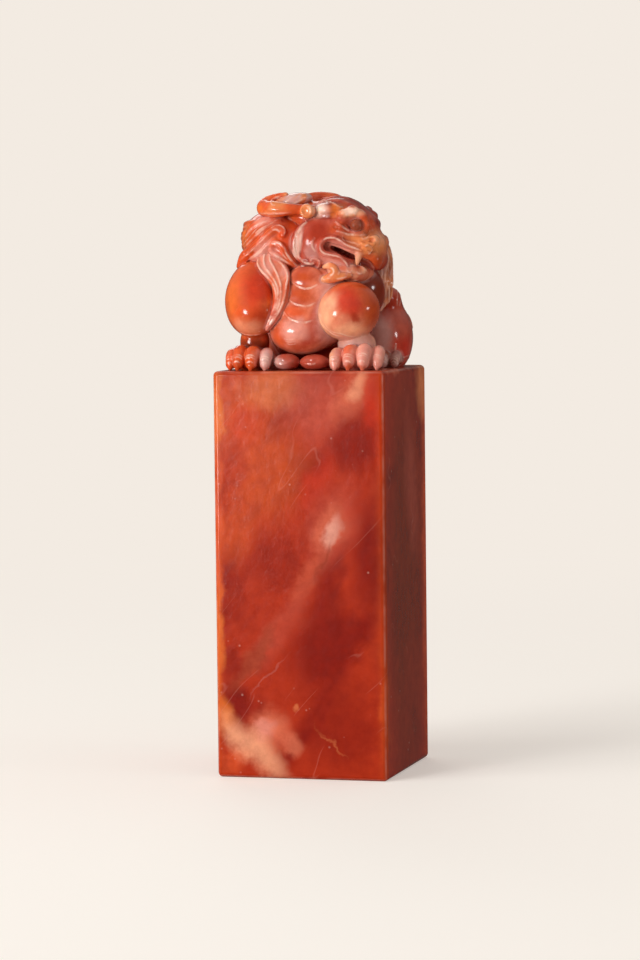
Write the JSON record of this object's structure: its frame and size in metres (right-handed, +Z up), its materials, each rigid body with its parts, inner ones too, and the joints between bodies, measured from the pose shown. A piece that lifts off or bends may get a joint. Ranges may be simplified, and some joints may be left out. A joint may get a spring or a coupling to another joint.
{
  "type": "seal stamp",
  "caption": "Square soapstone name seal with a crouching guardian beast carved as its grip and a fretwork relief cut in the sealing face.",
  "frame": {"origin": "centre of the square sealing face, which is the lowest face of the part", "axes": "+Z up along the shaft; -Y is the side that the beast faces; +X is the side that its turned head looks to"},
  "size_m": [0.03, 0.03, 0.0999],
  "materials": {
    "shaft_stone": "polished, clouded red soapstone with pale veins and orange edges",
    "red_stone": "polished red soapstone, slightly translucent, pale in its creases",
    "orange_stone": "polished orange soapstone with yellow patches",
    "wine_stone": "polished dark wine-red soapstone",
    "pale_stone": "polished pale peach soapstone with red patches"
  },
  "bodies": {
    "root": {"seal_shaft": "shaft_stone", "left_horn": "red_stone", "right_lip": "red_stone", "left_lip": "red_stone", "nose": "red_stone", "skull": "red_stone", "right_hindpaw": "red_stone", "left_hindpaw": "red_stone", "chest_lock_1": "red_stone", "chest_lock_2": "red_stone", "chest_lock_3": "red_stone", "belly": "red_stone", "right_jaw_lock": "red_stone", "left_mane_lock_1": "red_stone", "left_mane_lock_2": "red_stone", "nape": "red_stone", "trunk": "red_stone", "right_brow": "orange_stone", "left_brow": "orange_stone", "right_horn": "orange_stone", "right_forepaw": "orange_stone", "right_foreleg": "orange_stone", "chest": "orange_stone", "right_mane_lock_1": "orange_stone", "right_mane_lock_2": "orange_stone", "right_mane_lock_3": "orange_stone", "tail": "orange_stone", "right_eye": "wine_stone", "left_eye": "wine_stone", "right_cheek": "wine_stone", "left_cheek": "wine_stone", "right_pebble": "wine_stone", "left_pebble": "wine_stone", "right_haunch": "wine_stone", "left_haunch": "wine_stone", "right_ear": "pale_stone", "left_ear": "pale_stone", "crown_knob": "pale_stone", "right_cheek_rim": "pale_stone", "left_cheek_rim": "pale_stone", "right_beard_curl": "pale_stone", "left_beard_curl": "pale_stone", "forehead": "pale_stone", "upper_jaw": "pale_stone", "lower_jaw": "pale_stone", "left_forepaw": "pale_stone", "left_foreleg": "pale_stone"}
  },
  "joints": []
}
